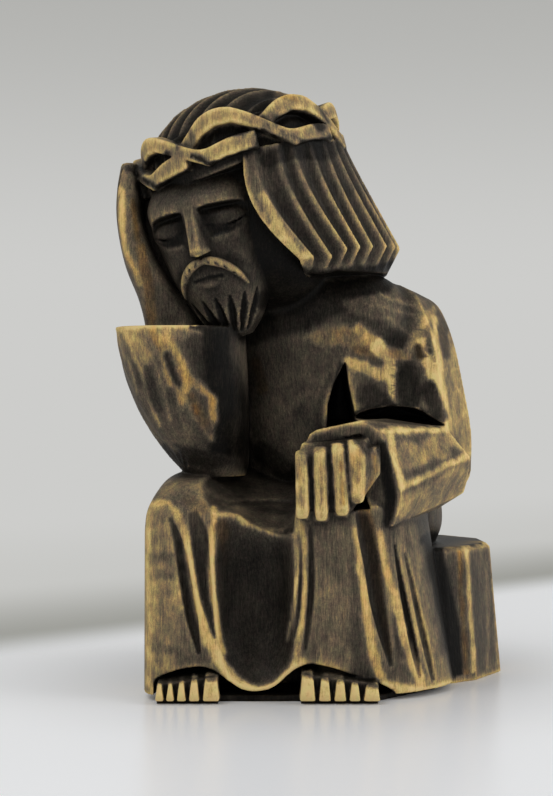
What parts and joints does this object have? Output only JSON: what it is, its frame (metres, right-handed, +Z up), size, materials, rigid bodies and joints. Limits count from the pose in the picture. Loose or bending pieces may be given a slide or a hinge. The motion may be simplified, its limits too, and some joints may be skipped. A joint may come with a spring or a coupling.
{
  "type": "pensive christ figure",
  "caption": "Seated bearded figure in a long robe with a braided crown, cheek on one hand, the other hand on the knee, carved with its stump seat from one block of dark stained wood.",
  "frame": {"origin": "middle of the footprint's box, on the surface the figure stands on", "axes": "+Z up, -Y the way the feet point, +X to the viewer's right from the front"},
  "size_m": [0.136, 0.1228, 0.2055],
  "materials": {
    "stained_wood": "dark brown-black stain rubbed back to ochre on the ridges, semi-matt wax"
  },
  "bodies": {
    "root": {"pensive_figure": "stained_wood"}
  },
  "joints": []
}
